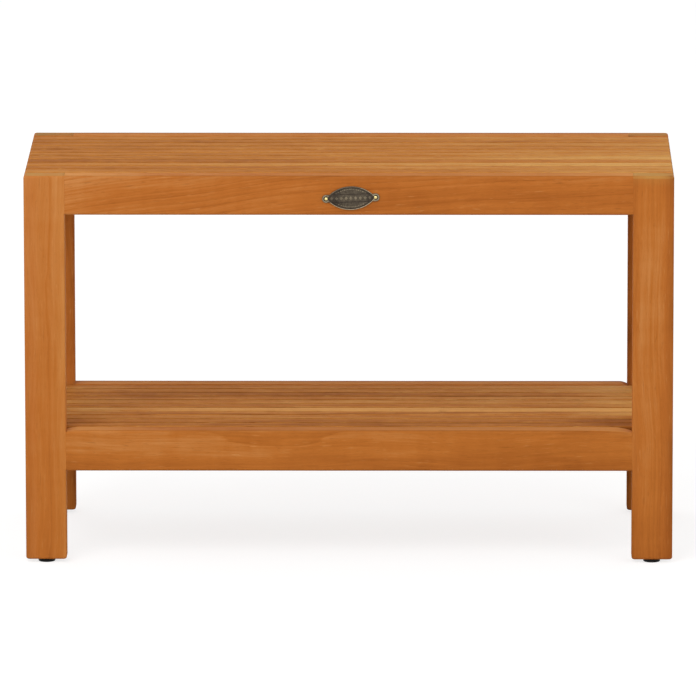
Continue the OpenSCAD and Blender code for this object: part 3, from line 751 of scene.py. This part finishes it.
def makePad(corner):
    # A closed profile of radius and height turned round the upright axis through the foot.
    low, high = boxOf(corner + "_foot_pad")
    radius, height, edge, lip, soft = (padLook[key] for key in ("radius", "height", "edge", "lip", "soft"))
    keyHole, bore, pocket, floor = (padLook[key] for key in ("keyHole", "bore", "pocket", "floor"))
    (groove, deep), top = padLook["groove"], padLook["pocketTop"]
    arc = np.linspace(0, np.pi / 2, 6)
    steps = [(keyHole + soft, 0), (groove - 0.5 * mm, 0), (groove - 0.2 * mm, deep * 0.8), (groove, deep),
             (groove + 0.2 * mm, deep * 0.8), (groove + 0.5 * mm, 0)]
    steps += [(radius - edge + edge * math.sin(a), edge - edge * math.cos(a)) for a in arc]
    steps += [(radius, height / 2)]
    steps += [(radius - lip + lip * math.cos(a), height - lip + lip * math.sin(a)) for a in arc]
    steps += [(bore + 3 * soft, height), (bore + soft, height - 0.3 * soft), (bore, height - soft),
              (bore, top + soft), (bore + soft, top), (pocket - soft, top), (pocket, top - soft),
              (pocket, floor + soft), (pocket - soft, floor), (keyHole + soft, floor), (keyHole, floor - soft),
              (keyHole, soft)]
    rings = turnedRings((*(low + high)[:2] / 2, low[2]), fullTurn(padLook["around"]), steps)
    piece = ringSurface(camelName(corner, "Pad"), rings, closed=True)
    dress(piece, corner + "_foot", "foot_nylon", padNylon, corner + "_foot_pad")


studLook = {
    "flange": 5.6 * mm, "flangeLow": 1.28 * mm, "flangeHigh": 2.48 * mm, "crest": 3.9 * mm,
    "threadDepth": 0.72 * mm, "pitch": 1.25 * mm, "top": 31 * mm, "socketFlats": 4 * mm, "socketDepth": 3 * mm,
    "soft": 0.1 * mm, "around": 36, "ringsPerTurn": 6,
}


def makeStud(corner):
    # The thread's radius is root + depth * w, where w is a flat-topped triangle wave of height / pitch - turns.
    look = studLook
    low, high = boxOf(corner + "_foot_stud")
    angle = fullTurn(look["around"])
    hexagon = look["socketFlats"] / 2 / np.cos((angle + np.pi / 6) % (np.pi / 3) - np.pi / 6)
    z0, z1, top, pitch, flange, soft = (
        look[key] for key in ("flangeLow", "flangeHigh", "top", "pitch", "flange", "soft"))
    inside, root = z0 + look["socketDepth"], look["crest"] - look["threadDepth"]
    steps = [(hexagon * 0.5, inside), (hexagon - soft, inside), (hexagon, inside - soft), (hexagon, z0 + 2 * soft),
             (hexagon + soft, z0), (flange - 2 * soft, z0), (flange, z0 + 2 * soft), (flange, z1 - 2 * soft),
             (flange - 2 * soft, z1), (root + soft, z1)]
    heights = np.arange(z1 + 2 * soft, top - 0.9 * mm, pitch / look["ringsPerTurn"])
    wave = np.clip(1.4 * (1 - np.abs(2 * ((heights[:, None] / pitch - angle / (2 * np.pi)) % 1) - 1)) - 0.15, 0, 1)
    fade = 1 - smoothStep(heights, top - 1.6 * mm, top - 0.9 * mm)
    fade = smoothStep(heights, z1 + 0.3 * mm, z1 + 1.5 * mm) * fade
    steps += list(zip(root + look["threadDepth"] * wave * fade[:, None], heights))
    steps += [(root - 0.1 * mm, top - 0.5 * mm), (root - 0.5 * mm, top - soft), (root - 0.7 * mm, top),
              (root * 0.4, top)]
    piece = ringSurface(camelName(corner, "Stud"), turnedRings((*(low + high)[:2] / 2, 0), angle, steps))
    dress(piece, corner + "_stud", "foot_steel", studSteel, corner + "_foot_stud")


for corner in corners:
    makePad(corner)
    makeStud(corner)
print("feet made")


screwLook = {
    "head": 4 * mm, "headHeight": 2.4 * mm, "shank": 2.1 * mm, "length": 30 * mm, "point": 4 * mm,
    "recess": 1.9 * mm, "recessDepth": 1.5 * mm, "middleRow": -5.5 * mm, "around": 24,
}


def makeScrews(deck):
    # One screw is rings of radius r(angle) and height: a cross recess of radius a + b * cos(2 angle)^6, then the
    # domed head, the shank and the point. It is repeated at every slat over the two side rails and the batten.
    look = screwLook
    low, high = boxOf(f"{deck}_slat_screws")
    head, tall, shank, length = (look[key] for key in ("head", "headHeight", "shank", "length"))
    angle = fullTurn(look["around"])
    cross = 0.5 * mm + (look["recess"] - 0.5 * mm) * np.abs(np.cos(2 * angle)) ** 6
    steps = [(cross * 0.35, look["recessDepth"] - tall), (cross * 0.8, 1.2 * mm - tall), (cross, -tall),
             (2.4 * mm, -tall), (3.2 * mm, -2.1 * mm), (3.75 * mm, -1.5 * mm), (head, -0.9 * mm), (head, -0.05 * mm),
             (head - 0.05 * mm, 0), (shank, 0.02 * mm), (shank, length - look["point"]), (0.1 * mm, length)]
    slats = [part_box(f"{deck}_slat_{number}") for number in slatNumbers]
    pieces = [
        ringSurface(f"{deck}Screw", turnedRings((x, (a[1] + b[1]) / 2, low[2] + tall), angle, steps))
        for x in (low[0] + head, look["middleRow"], high[0] - head) for a, b in slats
    ]
    with bpy.context.temp_override(active_object=pieces[0], selected_editable_objects=pieces):
        bpy.ops.object.join()
    pieces[0].name = f"{deck}SlatScrews"
    dress(pieces[0], "frame", "stainless_screws", screwSteel, f"{deck}_slat_screws")


for deck in decks:
    makeScrews(deck)
print("screws made")


# The rim stands up to the full rise. Ear rings, beads and lozenges lie lower, and the field and the band lowest,
# between dark grooves.
plaqueLook = {
    "middle": (2.5 * mm, 437 * mm), "tilt": 1.8, "length": 59 * mm, "height": 28 * mm, "thickness": 1.2 * mm,
    "rise": 0.5 * mm, "rim": 1.0 * mm, "groove": 1.0 * mm, "band": 9 * mm, "ear": 4.8 * mm, "earHollow": 2.9 * mm,
    "earRise": 0.65, "pins": 58 * mm, "fieldRise": 0.28, "bandRise": 0.29, "beadRow": 3.6 * mm, "beads": 40,
    "beadRise": 0.35, "lozenges": (5.6 * mm, 2.1 * mm, 2.5 * mm), "lozengeRise": 0.2, "around": 360, "across": 72,
}


def makePlaque():
    # Polar grid: each point lies at a share of the way from the middle to the outline. Its height is the plate's
    # plus smooth steps of how far it lies inside the eye's edge, inside an ear's edge and from the middle line.
    look = plaqueLook
    ear, rimWide, thick, half = look["ear"], look["rim"], look["thickness"], look["band"] / 2
    eyeRadius = (look["length"] ** 2 / 4 + look["height"] ** 2 / 4) / look["height"]
    rise = eyeRadius - look["height"] / 2
    angle = fullTurn(look["around"])
    cosine, sine = np.cos(angle), np.sin(angle)
    # a ray meets the eye where it leaves the circle centred on the other side
    eyeReach = -rise * np.abs(sine) + np.sqrt(eyeRadius ** 2 - (rise * cosine) ** 2)
    pin = look["pins"] / 2
    earReach = pin * np.abs(cosine) + np.sqrt(np.maximum(ear ** 2 - (pin * sine) ** 2, 0))
    reach = np.maximum(eyeReach, np.where(np.abs(pin * sine) < ear, earReach, 0))
    share = np.concatenate([[0.02], np.linspace(0.06, 1, look["across"])])[:, None]
    x, y = share * reach * cosine, share * reach * sine
    up = np.abs(y)
    fromEye = eyeRadius - np.hypot(x, up + rise)        # depth inside the eye's edge
    fromPin = np.hypot(np.abs(x) - pin, y)
    rim = smoothStep(fromEye, 0.0, 0.3 * mm) * (1 - smoothStep(fromEye, rimWide - 0.3 * mm, rimWide))
    inEye = smoothStep(fromEye, rimWide + look["groove"], rimWide + look["groove"] + 0.3 * mm)
    onBand = 1 - smoothStep(up, half - 0.6 * mm, half - 0.3 * mm)
    offBand = smoothStep(up, half + 0.3 * mm, half + 0.6 * mm)
    pitch, halfWide, halfHigh = look["lozenges"]
    lozenges = 1 - smoothStep(np.abs(x - pitch * np.round(x / pitch)) / halfWide + up / halfHigh, 0.75, 1.0)
    beads = 1 - smoothStep(np.abs(fromEye - look["beadRow"]), 0.2 * mm, 0.6 * mm)
    beads = beads * smoothStep(np.cos(look["beads"] * angle), -0.1, 0.6)
    beads = beads * smoothStep(up, half + 0.9 * mm, half + 1.5 * mm)
    field = offBand * (look["fieldRise"] + look["beadRise"] * beads)
    field = inEye * (field + onBand * (look["bandRise"] + look["lozengeRise"] * lozenges))
    earRing = smoothStep(ear - fromPin, 0.1 * mm, 0.4 * mm) * (fromEye < 0.3 * mm)
    earRing = earRing * smoothStep(fromPin, look["earHollow"], look["earHollow"] + 0.3 * mm)
    raised = np.clip(np.maximum(np.maximum(rim, field), look["earRise"] * earRing), 0, 1)
    edge = smoothStep(np.maximum(fromEye, ear - fromPin), 0, 0.5 * mm)
    height = thick - 0.25 * mm * (1 - edge) + look["rise"] * raised
    pinHollow = 1 - smoothStep(fromPin, 2.2 * mm, 2.6 * mm)
    height = height * (1 - pinHollow) + thick * pinHollow
    # behind the front: the side's ring, 0.1 mm off the rail, and three on the back
    behind = [np.stack([x[-1] * s, y[-1] * s, np.full_like(x[-1], z)], -1)
              for s, z in ((1, 0.1 * mm), (0.997, 0), (0.5, 0), (0.02, 0))]
    local = np.concatenate([np.stack([x, y, height], -1), behind])[:, ::-1]
    # painted shade on the rim's upper left keeps it from looking rubbed bright, and the field is darker towards both
    # ends
    rimShadeAndDarkEnds = 0.3 * smoothStep(np.abs(x - 3 * mm), 11 * mm, 21 * mm) * inEye
    rimShadeAndDarkEnds = rimShadeAndDarkEnds + 0.45 * smoothStep(y - 0.45 * x, 3 * mm, 9 * mm) * rim
    marks = np.pad(raised * (1 - rimShadeAndDarkEnds), ((0, 4), (0, 0)))[:, ::-1]
    tilt = math.radians(look["tilt"])
    u = local[..., 0] * math.cos(tilt) - local[..., 1] * math.sin(tilt)
    v = local[..., 0] * math.sin(tilt) + local[..., 1] * math.cos(tilt)
    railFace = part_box("seat_front_rail")[0][1]
    rings = np.stack([look["middle"][0] + u, railFace - local[..., 2], look["middle"][1] + v], -1)
    piece = ringSurface("plaquePlate", rings, {"raised": np.pad(marks.ravel(), (0, 2))})
    dress(piece, "frame", "plaque_bronze", plaqueBronze, "plaque")


makePlaque()
print("plaque made")


stageLook = {"floor": "#C8C8C8", "side": 14.0, "shadowLift": 0.75, "shadowWeight": 0.37, "horizon": 1.3,
             "overhead": 0.376}


def makeStage():
    # The floor is pale for the light that bounces. The camera sees weight * shade + lift, which is white where the
    # floor is lit and keeps the shadow. From below it is clear. The studio's soft light is horizon * (1 - up) +
    # overhead * up, where up is the height of a direction's unit vector.
    look, side = stageLook, stageLook["side"]
    mesh = bpy.data.meshes.new("floorSheet")
    mesh.from_pydata([(-side, -side, 0), (side, -side, 0), (side, side, 0), (-side, side, 0)], [], [(0, 1, 2, 3)])
    newObject("floorSheet", mesh)
    material, world = bpy.data.materials.new("paleFloor"), bpy.data.worlds.new("studio")
    mesh.materials.append(material)
    bpy.context.scene.world = world
    adders = nodeAdder(material), nodeAdder(world)
    direct = []      # 1 for rays that show the floor or the world itself, in each of the two
    for add in adders:
        rays = add("LightPath")
        seen = add("Math MAXIMUM", (rays["Is Camera Ray"], rays["Is Glossy Ray"]))[0]
        direct.append(add("Math MAXIMUM", (seen, rays["Is Transmission Ray"]))[0])

    add = adders[0]
    plain = add("BsdfDiffuse", {"Color": look["floor"]})[0]
    shade = add("BsdfDiffuse", {"Color": (look["shadowWeight"],) * 3 + (1,)})[0]
    lift = add("Emission", {"Strength": look["shadowLift"]})[0]
    mixed = add("MixShader", (direct[0], plain, add("AddShader", (shade, lift))[0]))[0]
    mixed = add("MixShader", (add("NewGeometry")["Backfacing"], mixed, add("BsdfTransparent")[0]))
    add("OutputMaterial", mixed[:1])

    add = adders[1]
    up = add("SeparateXYZ", (add("TexCoord")["Generated"],))["Z"]
    level = add("MapRange", (up, 0.0, 1.0, look["horizon"], look["overhead"]))[0]
    soft, white = (add("Background", {"Color": (1, 1, 1, 1), "Strength": light})[0] for light in (level, 1.0))
    add("OutputWorld", add("MixShader", (direct[1], soft, white))[:1])


# Soft boxes: place, width and height in metres, power in watts, all aimed at the bench's middle
lampLook = {
    "keyLamp": {"place": (-1.1, -2.3, 2.6), "size": (1.8, 1.4), "power": 34},
    "sideLamp": {"place": (2.4, -2.2, 1.3), "size": (1.6, 1.6), "power": 11},
    "rearLamp": {"place": (-1.8, 2.8, 1.0), "size": (1.6, 1.2), "power": 9},
}


def makeLamps():
    # Each lamp stands at its place and is turned so that its light points at the target.
    target = Vector((0, 0, 0.25))
    for name, look in lampLook.items():
        data = bpy.data.lights.new(name, "AREA")
        data.shape, data.energy = "RECTANGLE", look["power"]
        data.size, data.size_y = look["size"]
        place = Vector(look["place"])
        turned = (place - target).to_track_quat("Z", "Y").to_matrix().to_4x4()
        newObject(name, data).matrix_world = Matrix.Translation(place) @ turned


# Fitted to edges measured in the photograph: a long lens far in front of the bench, a little above it
cameraLook = {"place": (0.0999, -10.8529, 2.3348), "yaw": -0.5404, "pitch": 10.9825, "roll": -0.0658, "lens": 480.17}


def makeCamera():
    # A camera looks straight down, so it is rolled, tipped up by 90 degrees less the pitch, turned by the yaw and
    # moved to its place.
    yaw, pitch, roll = (math.radians(cameraLook[key]) for key in ("yaw", "pitch", "roll"))
    data = bpy.data.cameras.new("studioCamera")
    data.lens, data.sensor_width, data.sensor_fit, data.clip_end = cameraLook["lens"], 36.0, "HORIZONTAL", 60.0
    camera = newObject("studioCamera", data)
    camera.matrix_world = Matrix.Translation(Vector(cameraLook["place"]))
    for turn, axis in ((-yaw, "Z"), (math.pi / 2 - pitch, "X"), (roll, "Z")):
        camera.matrix_world @= Matrix.Rotation(turn, 4, axis)
    bpy.context.scene.camera = camera


makeStage()
makeLamps()
makeCamera()
bpy.context.scene.view_settings.view_transform = "Standard"
print("stage, lamps and camera made")

bpy.context.view_layer.update()
